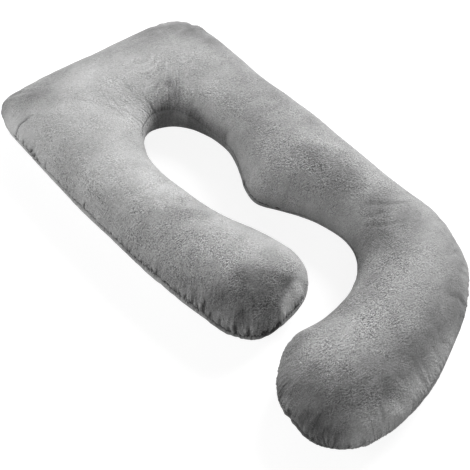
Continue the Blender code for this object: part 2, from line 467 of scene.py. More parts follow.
class CoverSettings(bpy.types.PropertyGroup):
    """Sizes of the stuffed cover."""

    cell: length_prop("Cloth cell", "Edge length of the simulated cloth", 7.5 * MM)
    start_inside: length_prop("Start inside", "How far inside the solid the cloth starts", 2.0 * MM)
    pinned: length_prop("Pinned", "Half width of the strip that the seam holds still", 8.0 * MM)
    puff: length_prop("Puff", "How far the filling swells it past the simulated cloth", 3.0 * MM)
    ease_reach: length_prop("Ease reach", "How far from the seam the cloth is eased in", 100.0 * MM)
    most_move: length_prop("Most movement", "How far a point of the cloth may move", 14.0 * MM)
    groove: length_prop("Seam groove", "How far the stitching draws the seam in", 4.0 * MM)
    groove_reach: length_prop("Groove reach", "How far from the seam the groove reaches", 8.0 * MM)
    lump: length_prop("Lump height", "Height of the lumps in the filling", 1.8 * MM)
    lump_size: length_prop("Lump size", "From one lump of the filling to the next", 120.0 * MM)
    pressure: bpy.props.FloatProperty(
        name="Filling pressure", description="Pressure of the filling on the cloth", default=4.0
    )
    ease: bpy.props.FloatProperty(
        name="Ease", description="Share of extra cloth sewn into the seam", default=0.24,
        subtype="FACTOR",
    )
    frames: bpy.props.IntProperty(
        name="Frames", description="Steps that the cloth is simulated for", default=20
    )


class VelourSettings(bpy.types.PropertyGroup):
    """Colours and relief of the velour."""

    # The two ends of the colour that the tone mixes; the tone holds the nap and also painted light
    # and shade
    shade: colour_prop("Shaded pile", "Colour where the pile leans away", "505050")
    light: colour_prop("Light pile", "Colour where the pile leans toward the light", "cccccc")
    grain: length_prop("Grain", "Between the tufts of the pile, as coarse as shows", 4.2 * MM)
    patch: length_prop("Patches", "Size of the patches where the pile was brushed", 110.0 * MM)
    streak: length_prop("Streaks", "Distance between the fine wrinkles at the seam", 7.0 * MM)
    relief: length_prop("Relief", "Height of the pile's grain", 1.1 * MM)


class ThreadSettings(bpy.types.PropertyGroup):
    """The thread that shows in the seam."""

    colour: colour_prop("Thread", "Colour of the sewing thread", "6f6f72")
    pitch: length_prop("Stitch", "Distance from one stitch to the next", 4.0 * MM)
    thickness: length_prop("Thickness", "Diameter of the thread", 0.8 * MM)


class StudioSettings(bpy.types.PropertyGroup):
    """Camera, floor and lights."""

    elevation: bpy.props.FloatProperty(
        name="Camera elevation", description="Angle of the view above the floor",
        default=math.radians(52.0), subtype="ANGLE",
    )
    heading: bpy.props.FloatProperty(
        name="Camera heading", description="Clockwise from +Y, seen from above",
        default=math.radians(41.25), subtype="ANGLE",
    )
    distance: length_prop("Camera distance", "From the camera to what it looks at", 3.1455)
    lens: bpy.props.FloatProperty(
        name="Lens", description="Focal length for a 36 mm sensor", default=91.9
    )
    aim: bpy.props.FloatVectorProperty(
        name="Aim", description="Point at the middle of the view",
        default=(-0.0878, -0.0577, 0.080), unit="LENGTH",
    )
    floor: colour_prop("Floor", "Colour of the floor", "909090")


# ---------------------------------------------------------------- helpers


def settings():
    """The add-on's settings in the open scene."""
    return bpy.context.scene.body_pillow_settings


def add_object(name, data):
    """A new object, linked to the scene."""
    obj = bpy.data.objects.new(name, data)
    bpy.context.scene.collection.objects.link(obj)
    return obj


def node(tree, kind, inputs=(), **properties):
    """Add a node with its properties. An input gets a value, or a link if given a socket."""
    new = tree.nodes.new(kind)
    for name, value in properties.items():
        setattr(new, name, value)
    for key, value in dict(inputs).items():
        if isinstance(value, bpy.types.NodeSocket):
            tree.links.new(value, new.inputs[key])
        else:
            new.inputs[key].default_value = value
    return new


def new_material(name):
    """A new material, its node tree and its shader."""
    material = bpy.data.materials.new(name)
    material.use_nodes = True
    return material, material.node_tree, material.node_tree.nodes["Principled BSDF"]


def evaluated_mesh(obj):
    """The object's mesh with its modifiers."""
    graph = bpy.context.evaluated_depsgraph_get()
    return bpy.data.meshes.new_from_object(obj.evaluated_get(graph))


def positions(mesh):
    """The places of the mesh's points, one row each."""
    flat = np.empty(len(mesh.vertices) * 3)
    mesh.vertices.foreach_get("co", flat)
    return flat.reshape(-1, 3)


def smooth_curve(points, at, where):
    """Points of the smooth curve through `points`, which lie at `at`, at each of `where`."""
    slope = np.gradient(points, at, axis=0)
    k = np.clip(np.searchsorted(at, where, side="right") - 1, 0, len(at) - 2)
    span = (at[k + 1] - at[k])[:, None]
    u = ((where - at[k]) / (at[k + 1] - at[k]))[:, None]
    before = (1 + 2 * u) * (1 - u) ** 2 * points[k] + u * (1 - u) ** 2 * span * slope[k]
    after = u * u * (3 - 2 * u) * points[k + 1] + u * u * (u - 1) * span * slope[k + 1]
    return before + after


def run_length(points):
    """How far along a line each of its points lies."""
    return np.concatenate([[0.0], np.cumsum(np.linalg.norm(np.diff(points, axis=0), axis=1))])


# ------------------------------------------------- the solid and its seam


def merged_solid():
    """The CAD solid as one welded bmesh."""
    solid = bmesh.new()
    solid.from_mesh(bpy.data.objects[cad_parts[NODE].name].data)
    bmesh.ops.remove_doubles(solid, verts=solid.verts, dist=SAME_POINT)
    return solid


def seam_runs(solid):
    """The seam in plan, as its run on the hollow's side and its run on the outer side.

    Both go from the point of the straight arm to the point of the hook. The two
    points are the vertices with the most edges, and the seam lies at their height.
    """
    points = sorted(solid.verts, key=lambda v: len(v.link_edges))[-2:]
    arm_point, hook_point = sorted(points, key=lambda v: -v.co.y)
    height = arm_point.co.z
    on_seam = {v for v in solid.verts if abs(v.co.z - height) < SAME_HEIGHT}
    runs = []
    for edge in arm_point.link_edges:
        here = edge.other_vert(arm_point)
        if here not in on_seam:
            continue
        run = [arm_point, here]
        while run[-1] is not hook_point:
            neighbours = [e.other_vert(run[-1]) for e in run[-1].link_edges]
            run.append(next(v for v in neighbours if v in on_seam and v is not run[-2]))
        runs.append(np.array([v.co.xy for v in run]))
    inner, outer = sorted(runs, key=lambda run: run_length(run)[-1])
    return inner, outer, height


# ------------------------------------------------------------------ cover


def gather_at(places):
    """The gathers at each place in plan: depths of the three kinds, length, pitch and lean."""
    plain = np.array(PLAIN_GATHER[3:])
    plan = places[:, :2] / MM
    away = [np.linalg.norm(plan - (zone.x, zone.y), axis=1) / zone.reach for zone in GATHERS]
    share = np.exp(-ZONE_FADE * np.array(away) ** 2)
    nearest = (share / share.max(axis=0)) ** ZONE_CHOICE
    mixed = nearest.T @ np.array([zone[3:] for zone in GATHERS]) / nearest.sum(axis=0)[:, None]
    return (plain + (mixed - plain) * share.max(axis=0)[:, None]).T


def gather_strength(places):
    """How strongly the seam is gathered at each place in plan, from 0 to 1."""
    here = gather_at(places)[:3].max(axis=0)
    plain = max(PLAIN_GATHER[3:6])
    deepest = max(max(zone[3:6]) for zone in GATHERS)
    return np.clip((here - plain) / (deepest - plain), 0, 1)


def spot(places, at):
    """How near each place is to a table's spot in plan: 1 there, nearly 0 at twice its reach."""
    away = np.linalg.norm(places[..., :2] / MM - (at.x, at.y), axis=-1) / at.reach
    return np.exp(-(away**2))


def seam_turns(seam):
    """How far up each spoke the seam lies, as a turn from level."""
    rise = sum(spot(seam, at) * at.height for at in SEAM_RISES) * MM
    wobble = [noise.noise(Vector((*place[:2], 0.0)) / SEAM_WOBBLE_SIZE) for place in seam]
    rise += SEAM_WOBBLE * np.array(wobble)
    return np.sign(rise) * np.arcsin((np.abs(rise) / CROWN) ** (FULLNESS / 2))


def puffed_cloth(solid, seam):
    """The solid's cloth after its filling has swollen it, with the seam's points held still."""
    cover = settings().cover
    mesh = bpy.data.meshes.new("cloth")
    solid.to_mesh(mesh)
    cloth = add_object("cloth", mesh)
    remesh = cloth.modifiers.new("remesh", "REMESH")
    remesh.mode = "VOXEL"
    remesh.voxel_size = cover.cell
    cloth.data = evaluated_mesh(cloth)
    cloth.modifiers.clear()

    mesh = cloth.data
    normals = np.array([v.normal for v in mesh.vertices])
    start = positions(mesh) - normals * cover.start_inside
    mesh.vertices.foreach_set("co", start.ravel())

    ease = cloth.vertex_groups.new(name="ease")
    pinned = cloth.vertex_groups.new(name="pinned")
    strength = gather_strength(seam)
    tree = kdtree.KDTree(len(seam))
    for k, point in enumerate(seam):
        tree.insert(point, k)
    tree.balance()
    for k, place in enumerate(start):
        _, nearest, away = tree.find(place)
        share = PLAIN_EASE + (1 - PLAIN_EASE) * strength[nearest]
        weight = max(0.0, 1.0 - away / cover.ease_reach) * share
        if weight > 0:
            ease.add([k], weight, "REPLACE")
        if away < cover.pinned:
            pinned.add([k], 1.0, "REPLACE")

    modifier = cloth.modifiers.new("cloth", "CLOTH")
    sewing = modifier.settings
    sewing.quality = 5
    sewing.mass = 0.3
    sewing.tension_stiffness = 15
    sewing.compression_stiffness = 15
    sewing.shear_stiffness = 5
    sewing.bending_stiffness = 0.5
    sewing.use_pressure = True
    sewing.uniform_pressure_force = cover.pressure
    sewing.effector_weights.gravity = 0.0
    sewing.vertex_group_mass = pinned.name
    sewing.vertex_group_shrink = ease.name
    sewing.shrink_min = 0.0
    sewing.shrink_max = -cover.ease
    modifier.collision_settings.use_collision = False
    for step in range(1, cover.frames + 1):
        bpy.context.scene.frame_set(step)
    puffed = evaluated_mesh(cloth)
    bpy.context.scene.frame_set(1)

    move = positions(puffed) - start
    size = np.linalg.norm(move, axis=1)
    capped = start + move * np.minimum(1.0, cover.most_move / np.maximum(size, 1e-9))[:, None]
    capped[:, 2] = np.maximum(capped[:, 2], 0.0)
    puffed.vertices.foreach_set("co", capped.ravel())
    cloth.modifiers.clear()
    cloth.data = puffed
    smooth = cloth.modifiers.new("smooth", "SMOOTH")
    smooth.factor = 0.5
    smooth.iterations = 1
    finer = cloth.modifiers.new("finer", "SUBSURF")
    finer.levels = finer.render_levels = 1
    result = evaluated_mesh(cloth)
    bpy.data.objects.remove(cloth)
    return result


def surface_of(mesh):
    """A tree of the mesh's faces, to cast rays on."""
    mesh.calc_loop_triangles()
    triangles = [tuple(t.vertices) for t in mesh.loop_triangles]
    return BVHTree.FromPolygons([v.co for v in mesh.vertices], triangles)


# Spokes round the whole seam: each one's point on it in plan, its point on the spine,
# how far along the seam it lies, and the length of the seam
Spokes = namedtuple("Spokes", "seam spine along total")


def even_steps(points):
    """Distances along a line of plan points, closer together where the seam is gathered."""
    at = run_length(points)
    fine = np.arange(0, at[-1], SEAM_SAMPLE)
    places = smooth_curve(points, at, fine)
    share = np.clip(gather_strength(places) / FINE_FROM + spot(places, HOLLOW_TOP), 0, 1)
    step = PLAIN_STEP + (FINE_STEP - PLAIN_STEP) * share
    count = np.concatenate([[0.0], np.cumsum(SEAM_SAMPLE / step)])[: len(fine)]
    whole = np.linspace(0, count[-1], int(count[-1]) + 1)
    return np.interp(whole, count, fine / fine[-1] * at[-1])


def spokes_of(inner, outer):
    """The spokes, from the seam's two runs.

    Along the arms and the head a spoke of the hollow's side meets one of the outer
    side at the middle. In a round end all the spokes meet at the middle of its row.
    """
    first, last = END_RIBS, len(inner) - 1 - END_RIBS
    body_inner, body_outer = inner[first : last + 1], outer[first : last + 1]
    at = (run_length(body_inner) + run_length(body_outer)) / 2
    at_outer = run_length(body_outer)
    where = np.interp(even_steps(body_outer), at_outer, at)
    body_inner = smooth_curve(body_inner, at, where)
    body_outer = smooth_curve(body_outer, at, where)
    middle = (body_inner + body_outer) / 2

    arm_end = np.vstack([outer[first::-1], inner[1 : first + 1]])
    hook_end = np.vstack([inner[last:], outer[-2 : last - 1 : -1]])
    seam, spine = [], []
    for run, centre in (
        (arm_end, middle[0]), (body_inner, middle), (hook_end, middle[-1]),
        (body_outer[::-1], middle[::-1]),
    ):
        if centre.ndim == 1:
            run = smooth_curve(run, run_length(run), even_steps(run))
            centre = np.repeat(centre[None], len(run), axis=0)
        seam.append(run[:-1])
        spine.append(centre[:-1])
    seam, spine = np.vstack(seam), np.vstack(spine)
    along = run_length(np.vstack([seam, seam[:1]]))
    return Spokes(seam, spine, along[:-1], along[-1])


def ray_along(spoke, turn):
    """The direction from a spoke's middle at a turn above level, or below it under 0."""
    outward = Vector((*(spoke[0] - spoke[1]), 0.0)) * abs(math.cos(turn)) ** (2 / FULLNESS)
    rise = math.copysign(CROWN * abs(math.sin(turn)) ** (2 / FULLNESS), turn)
    return outward + Vector((0, 0, rise))


def cast_seam(spokes, surface, height):
    """The seam's points on the surface."""
    points = []
    for seam, spine, turn in zip(spokes.seam, spokes.spine, seam_turns(spokes.seam)):
        ray = ray_along((seam, spine), turn)
        points.append(surface.ray_cast(Vector((*spine, height)), ray)[0])
    return np.array(points)


def cast_cover(spokes, surface, height):
    """Points of the surface along each spoke, from the middle of the top to that below."""
    up = np.linspace(1, 0, TOP_POINTS + 1) ** SEAM_CROWDING
    down = np.linspace(0, 1, UNDER_POINTS + 1)[1:] ** SEAM_CROWDING
    grid = np.empty((len(spokes.seam), len(up) + len(down), 3))
    levels = seam_turns(spokes.seam)
    for row, (seam, spine, level) in enumerate(zip(spokes.seam, spokes.spine, levels)):
        over, under = (math.pi / 2 - level) * up, (math.pi / 2 + level) * down
        turns = np.concatenate([level + over, level - under])
        for column, turn in enumerate(turns):
            ray = ray_along((seam, spine), float(turn))
            grid[row, column] = surface.ray_cast(Vector((*spine, height)), ray)[0]
    return grid


def along_spokes(grid):
    """Distance of each point of the cover from the seam, along its spoke."""
    steps = np.linalg.norm(np.diff(grid, axis=1), axis=2)
    reach = np.concatenate([np.zeros((len(grid), 1)), np.cumsum(steps, axis=1)], axis=1)
    return np.abs(reach - reach[:, TOP_POINTS : TOP_POINTS + 1])


def outward_of(grid, spokes, height):
    """The direction from the middle of the pillow to each point of the cover."""
    origin = np.column_stack([spokes.spine, np.full(len(spokes.spine), height)])
    away = grid - origin[:, None]
    return away / np.linalg.norm(away, axis=2, keepdims=True)


def lumps(grid):
    """How far the filling's lumps push each point out."""
    cover = settings().cover
    flat = grid.reshape(-1, 3) / cover.lump_size
    push = [
        sum(share * noise.noise(Vector(p) * finer) for finer, share in LUMP_LAYERS) for p in flat
    ]
    return np.array(push).reshape(grid.shape[:2]) * cover.lump


def valley(across, ridge):
    """Height across a valley of depth 1, in half widths from its middle, with its two ridges."""
    ridges = np.exp(-((np.abs(across) - ridge.at) ** 2) * ridge.sharpness)
    return -np.exp(-(across**2)) + ridge.height * ridges


def gather_cut(gap, half, lean, length, reach):
    """A gather's valley, which widens and fades away from the seam."""
    widening = 1 + GATHER_WIDENING * reach / length
    cut = valley((gap[:, None] - lean * reach * SIDE) / (half * widening), GATHER_RIDGE)
    return cut * np.clip(1 - (reach / length) ** GATHER_FADE, 0, 1)


def gathers(grid, spokes, reach):
    """How far the gathers at the seam push each point out, and the painted shade in their valleys.
    """
    draw = random.Random(GATHER_SEED)
    push = np.zeros(grid.shape[:2])
    painted_shade = np.zeros(grid.shape[:2])

    def add(place, half, deep, length, lean, under, shade):
        gap = (spokes.along - place + spokes.total / 2) % spokes.total - spokes.total / 2
        near = np.nonzero(np.abs(gap) < GATHER_REACH * half + abs(lean) * length)[0]
        cut = gather_cut(gap[near], half, lean, length, reach[near])
        cut *= np.where(SIDE > 0, 1.0, under)
        push[near] += deep * cut
        # painted shade in the valley, by its depth
        painted_shade[near] = np.maximum(painted_shade[near], -shade * deep * cut / DARKEST_AT)

    *sizes, leaning = gather_at(spokes.seam)
    sizes = np.array(sizes) * MM
    for kind, depth in zip(GATHER_KINDS, sizes):
        place = 0.0
        while place < spokes.total - kind.pitch * PLAIN_GATHER.pitch * MM / 2:
            row = min(int(np.searchsorted(spokes.along, place)), len(depth) - 1)
            step = kind.pitch * sizes[4][row] * draw.uniform(*STEP_RANGE)
            deep = DEPTH_SHARE * depth[row] * draw.uniform(*DEPTH_RANGE) ** DEPTH_SKEW
            length = kind.length * sizes[3][row] * draw.uniform(*LENGTH_RANGE)
            half = step * draw.uniform(*HALF_WIDTH_RANGE)
            lean = leaning[row] + draw.uniform(-kind.lean, kind.lean)
            add(place, half, deep, length, lean, draw.uniform(*UNDER_RANGE), kind.shade)
            place += step
    for pit in PITS:
        place = spokes.along[np.linalg.norm(spokes.seam / MM - (pit.x, pit.y), axis=1).argmin()]
        lean = pit.lean + draw.uniform(-PIT_LEAN, PIT_LEAN)
        add(place, pit.width * MM, pit.depth * MM, pit.length * MM, lean, pit.under, PIT_SHADE)
    # They end before the spine, where the spokes of the two sides share their points.
    to_spine = np.where(SIDE > 0, reach[:, :1], reach[:, -1:]) - reach
    return push * np.clip(to_spine / SPINE_FADE, 0, 1), painted_shade


def swelling(grid, outward, reach):
    """How far the filling swells each point out, least at the seam that holds the cover in."""
    cover = settings().cover
    flat = np.linalg.norm(outward[..., :2], axis=2) ** 2
    free = 1 - SEAM_HOLD * np.exp(-((reach / cover.groove_reach) ** 2))
    out = sum(spot(grid, swell) * np.where(SIDE < 0, swell.under, swell.top) for swell in SWELLS)
    return flat * free * (cover.puff + out * MM)


def creases(grid, height):
    """How far the single creases push each point of the top out, and the painted shade in them."""
    push = np.zeros(grid.shape[:2])
    painted_shade = np.zeros(grid.shape[:2])
    plan = grid[..., :2] / MM
    for crease in CREASES:
        points = np.array(crease.points, dtype=float)
        at = run_length(points)
        line = smooth_curve(points, at, np.linspace(0, at[-1], CREASE_STEPS))
        away = np.full(push.shape, np.inf)
        share = np.zeros(push.shape)
        for k, point in enumerate(line):
            gap = np.linalg.norm(plan - point, axis=2)
            nearer = gap < away
            away[nearer] = gap[nearer]
            run = CREASE_START + (1 - CREASE_START) * (k + 0.5) / len(line)
            share[nearer] = math.sin(math.pi * run) ** CREASE_BLUNTNESS
        deep = crease.depth * MM * valley(away / crease.width, CREASE_RIDGE) * share
        cut = np.where(grid[..., 2] > height, deep, 0.0)
        push += cut
        painted_shade = np.maximum(painted_shade, -crease.shade * cut / DARKEST_AT)
    return push, painted_shade


def stroked(grid, strokes):
    """The strokes' tone at each point, with edges that wander."""
    noise.seed_set(BRUSH_WARP_SEED)
    warp = grid.reshape(-1, 3) / BRUSH_WARP_SIZE
    warp = np.array([noise.noise_vector(Vector(p))[:2] for p in warp])
    warp = warp.reshape(*grid.shape[:2], 2)
    tone = np.zeros(grid.shape[:2])
    for stroke in strokes:
        plan = grid[..., :2] / MM + warp * min(BRUSH_WARP, BRUSH_WARP_SHARE * stroke.width)
        points = np.array(stroke.points, dtype=float)
        away = np.full(tone.shape, np.inf)
        if len(points) > 1:
            at = run_length(points)
            points = smooth_curve(points, at, np.arange(0, at[-1], STROKE_STEP * stroke.width))
        for point in points:
            away = np.minimum(away, np.linalg.norm(plan - point, axis=2))
        tone += stroke.tone * np.exp(-((away / (STROKE_SPREAD * stroke.width)) ** stroke.edge))
    return tone


def hidden(seam):
    """How far the seam is hidden at each of its places, from 0 to 1."""
    return np.minimum(1, sum(spot(seam, at) for at in HIDDEN_SEAM))


def groove(spokes, reach):
    """How far the stitching draws each point in."""
    cover = settings().cover
    deep = cover.groove * (1 - HIDDEN_GROOVE * hidden(spokes.seam))
    return -deep[:, None] * np.clip(1 - reach / cover.groove_reach, 0, 1) ** GROOVE_SHARPNESS


def streak_strength(spokes, reach, length):
    """How strong the fine wrinkles beside the seam are at each point."""
    gathered = PLAIN_STREAKS + (1 - PLAIN_STREAKS) * gather_strength(spokes.seam)
    above_wall = np.clip(reach / HOLLOW_WALL - 1, 0, 1)
    hollow = WALL_STREAKS + (HOLLOW_STREAKS - WALL_STREAKS) * above_wall
    strength = gathered[:, None] + spot(spokes.seam, HOLLOW_TOP)[:, None] * hollow
    return strength * np.clip(1 - reach / (STREAK_LENGTH * length[:, None] * MM), 0, 1)


def quad_corners(here, there):
    """A value at the four corners of each face between a spoke and the next."""
    return np.stack([here[:, :-1], here[:, 1:], there[:, 1:], there[:, :-1]], axis=-1)


def cover_mesh(grid, spokes, reach, painted_shade):
    """The cover as a mesh, with its UV map in metres along and across the seam."""
    rows, columns = grid.shape[:2]
    index = np.arange(rows * columns).reshape(rows, columns)
    faces = quad_corners(index, np.roll(index, -1, axis=0))
    mesh = bpy.data.meshes.new("pillow_cover")
    mesh.from_pydata(grid.reshape(-1, 3).tolist(), [], faces.reshape(-1, 4).tolist())

    length, _, lean = gather_at(spokes.seam)[3:]
    along = spokes.along[:, None] - lean[:, None] * np.where(SIDE > 0, reach, 0.0)
    next_along = np.roll(along, -1, axis=0)
    next_along[-1] += spokes.total
    across = reach * SIDE
    next_across = np.roll(across, -1, axis=0)
    corners = (quad_corners(along, next_along), quad_corners(across, next_across))
    mesh.uv_layers.new(name="seam").data.foreach_set("uv", np.stack(corners, axis=-1).ravel())

    seam_order = np.zeros((rows, columns))
    seam_order[:, TOP_POINTS] = np.arange(1, rows + 1)
    seam_shows = 1 - HIDDEN_SHADE * hidden(spokes.seam)
    for name, values in (
        ("gather", streak_strength(spokes, reach, length)),
        # painted shade in the valleys of the gathers, pits and creases
        ("fold", painted_shade),
        # the nap's strokes, with their painted light and shade
        ("brushed", np.clip(stroked(grid, NAP_AND_PAINTED_SHADING), *NAP_AND_PAINTED_SHADING_LIMITS)),
        ("raised", stroked(grid, RAISED)),
        ("seam_order", seam_order),
        ("seam_shade", np.exp(-((reach / SEAM_SHADE) ** 2)) * seam_shows[:, None]),
    ):
        mesh.attributes.new(name, "FLOAT", "POINT").data.foreach_set("value", values.ravel())

    welded = bmesh.new()
    welded.from_mesh(mesh)
    bmesh.ops.remove_doubles(welded, verts=welded.verts, dist=WELD)
    bmesh.ops.recalc_face_normals(welded, faces=welded.faces)
    welded.to_mesh(mesh)
    welded.free()
    mesh.shade_smooth()
    return mesh


def seam_bottom(mesh):
    """The points at the bottom of the cover's seam, in order round it."""
    order = np.empty(len(mesh.vertices), dtype=np.float32)
    mesh.attributes["seam_order"].data.foreach_get("value", order)
    on_seam = np.nonzero(order > 0.5)[0]
    return positions(mesh)[on_seam[np.argsort(order[on_seam])]]


# -------------------------------------------------------------- materials


def velour():
    """Short-pile polyester velour, knitted and brushed.

    It is matt, with a faint sheen where the eye looks along the pile, lighter and
    darker patches, partly where the pile was brushed and partly painted light and
    shade, painted shade in its folds and its seam's groove, and a fine curly grain.
    The grain is drawn about three times as coarse as the real pile, so that it shows.
    """
    look = settings().velour
    material, tree, shader = new_material("brushed_grey_velour")
    place = node(tree, "ShaderNodeTexCoord").outputs["Object"]
    lines = node(tree, "ShaderNodeUVMap", uv_map="seam").outputs["UV"]
    marks = {
        name: node(tree, "ShaderNodeAttribute", attribute_name=name).outputs["Fac"]
        for name in ("gather", "fold", "brushed", "raised", "seam_shade")
    }

    patches = node(tree, "ShaderNodeTexNoise", {
        "Vector": place, "Scale": 1 / look.patch,
        "Detail": 4.0, "Roughness": 0.6, "Distortion": 0.8,
    }).outputs["Fac"]
    raised = node(tree, "ShaderNodeMath", {
        0: marks["raised"], 1: 0.45, 2: 0.7,
    }, operation="MULTIPLY_ADD").outputs[0]
    # The pile lies flat here and stands there, over about 50 mm.
    standing = node(tree, "ShaderNodeTexNoise", {
        "Vector": place, "Scale": 1 / (50 * MM), "Detail": 2.0, "Distortion": 1.0,
    }).outputs["Fac"]
    standing = node(tree, "ShaderNodeMapRange", {
        "Value": standing, "From Min": 0.35, "From Max": 0.65, "To Min": 0.6, "To Max": 1.4,
    }).outputs["Result"]
    raised = node(tree, "ShaderNodeMath", {0: raised, 1: standing}, operation="MULTIPLY").outputs[0]
    combed = node(tree, "ShaderNodeMapping", {
        "Vector": place, "Scale": (0.6, 1.0, 1.0),
    }).outputs["Vector"]
    tufts = tips = 0.0
    for size, relief, tone in TUFTS:
        tuft = node(tree, "ShaderNodeTexNoise", {
            "Vector": combed, "Scale": 1 / (size * look.grain), "Detail": 0.0,
        }).outputs["Fac"]
        tuft = node(tree, "ShaderNodeMath", {0: tuft, 1: 0.5}, operation="SUBTRACT").outputs[0]
        tufts = node(tree, "ShaderNodeMath", {
            0: tuft, 1: relief, 2: tufts,
        }, operation="MULTIPLY_ADD").outputs[0]
        tips = node(tree, "ShaderNodeMath", {
            0: tuft, 1: tone, 2: tips,
        }, operation="MULTIPLY_ADD").outputs[0]
    grain = node(tree, "ShaderNodeMath", {0: tufts, 1: raised}, operation="MULTIPLY").outputs[0]
    tips = node(tree, "ShaderNodeMath", {0: tips, 1: raised}, operation="MULTIPLY").outputs[0]
    # Smears of the brushed pile, about 25 mm wide and 60 mm long
    smeared = node(tree, "ShaderNodeMapping", {
        "Vector": place, "Rotation": (0.0, 0.0, math.radians(35)),
        "Scale": (1 / (60 * MM), 1 / (25 * MM), 1 / (40 * MM)),
    }).outputs["Vector"]
    smears = node(tree, "ShaderNodeTexNoise", {
        "Vector": smeared, "Scale": 1.0, "Detail": 4.0, "Roughness": 0.75, "Distortion": 1.2,
    }).outputs["Fac"]
    smears = node(tree, "ShaderNodeMath", {0: smears, 1: 0.5}, operation="SUBTRACT").outputs[0]
    # The fine wrinkles beside the seam: streaks of painted light and shade in the colour, and a
    # bump
    run = node(tree, "ShaderNodeMapping", {
        "Vector": lines, "Scale": (1 / look.streak, 0.12 / look.streak, 1.0),
    }).outputs["Vector"]
    streaks = node(tree, "ShaderNodeTexNoise", {
        "Vector": run, "Scale": 1.0, "Detail": 2.0, "Roughness": 0.5, "Distortion": 0.35,
    }, noise_dimensions="2D").outputs["Fac"]
    streaks = node(tree, "ShaderNodeMath", {0: streaks, 1: 0.5}, operation="SUBTRACT").outputs[0]
    streaks = node(tree, "ShaderNodeMath", {
        0: streaks, 1: marks["gather"],
    }, operation="MULTIPLY").outputs[0]

    tone = node(tree, "ShaderNodeMapRange", {
        "Value": patches, "From Min": 0.3, "From Max": 0.7, "To Min": 0.45, "To Max": 0.65,
    }).outputs["Result"]
    # How much each makes the pile lighter, or darker where its share is below 0: the nap
    # with its painted light and shade, smears, the wrinkles' painted streaks, and the
    # painted shade in the folds and in the seam's groove
    for value, share in (
        (marks["brushed"], 0.5), (smears, 0.4), (streaks, 1.0), (marks["fold"], -0.8),
        (marks["seam_shade"], -0.8),
    ):
        tone = node(tree, "ShaderNodeMath", {
            0: value, 1: share, 2: tone,
        }, operation="MULTIPLY_ADD").outputs[0]
    tone = node(tree, "ShaderNodeClamp", {"Value": tone}).outputs["Result"]
    colour = node(tree, "ShaderNodeMix", {}, data_type="RGBA")
    tree.links.new(tone, colour.inputs[0])
    colour.inputs[6].default_value = (*look.shade, 1.0)
    colour.inputs[7].default_value = (*look.light, 1.0)
    tips = node(tree, "ShaderNodeMath", {
        0: tips, 1: 0.9, 2: 1.0,
    }, operation="MULTIPLY_ADD").outputs[0]
    mottled = node(tree, "ShaderNodeVectorMath", {
        0: colour.outputs[2], "Scale": tips,
    }, operation="SCALE")
    tree.links.new(mottled.outputs["Vector"], shader.inputs["Base Color"])

    height = node(tree, "ShaderNodeMath", {
        0: streaks, 1: 1.5, 2: grain,
    }, operation="MULTIPLY_ADD").outputs[0]
    bump = node(tree, "ShaderNodeBump", {
        "Strength": 1.0, "Distance": look.relief, "Height": height,
    })
    tree.links.new(bump.outputs["Normal"], shader.inputs["Normal"])
    shader.inputs["Roughness"].default_value = 0.95
    shader.inputs["Specular IOR Level"].default_value = 0.2
    shader.inputs["Sheen Weight"].default_value = 0.15
    shader.inputs["Sheen Roughness"].default_value = 0.5
    return material


def polyester_thread():
    """Spun polyester sewing thread, matt and a shade darker than the velour."""
    material, tree, shader = new_material("spun_grey_thread")
    place = node(tree, "ShaderNodeTexCoord").outputs["Object"]
    # The strands of the ply are about 0.3 mm apart.
    strands = node(tree, "ShaderNodeTexNoise", {
        "Vector": place, "Scale": 1 / (0.3 * MM), "Detail": 0.0,
    }).outputs["Fac"]
    colour = settings().thread.colour
    darker = tuple(STRAND_SHADE * c for c in colour)
    ramp = node(tree, "ShaderNodeMix", {}, data_type="RGBA")
    tree.links.new(strands, ramp.inputs[0])
    ramp.inputs[6].default_value = (*darker, 1.0)
    ramp.inputs[7].default_value = (*colour, 1.0)
    tree.links.new(ramp.outputs[2], shader.inputs["Base Color"])
    bump = node(tree, "ShaderNodeBump", {"Strength": 0.5, "Distance": 0.1 * MM, "Height": strands})
    tree.links.new(bump.outputs["Normal"], shader.inputs["Normal"])
    shader.inputs["Roughness"].default_value = 0.7
    return material


# ---------------------------------------------------------------- thread


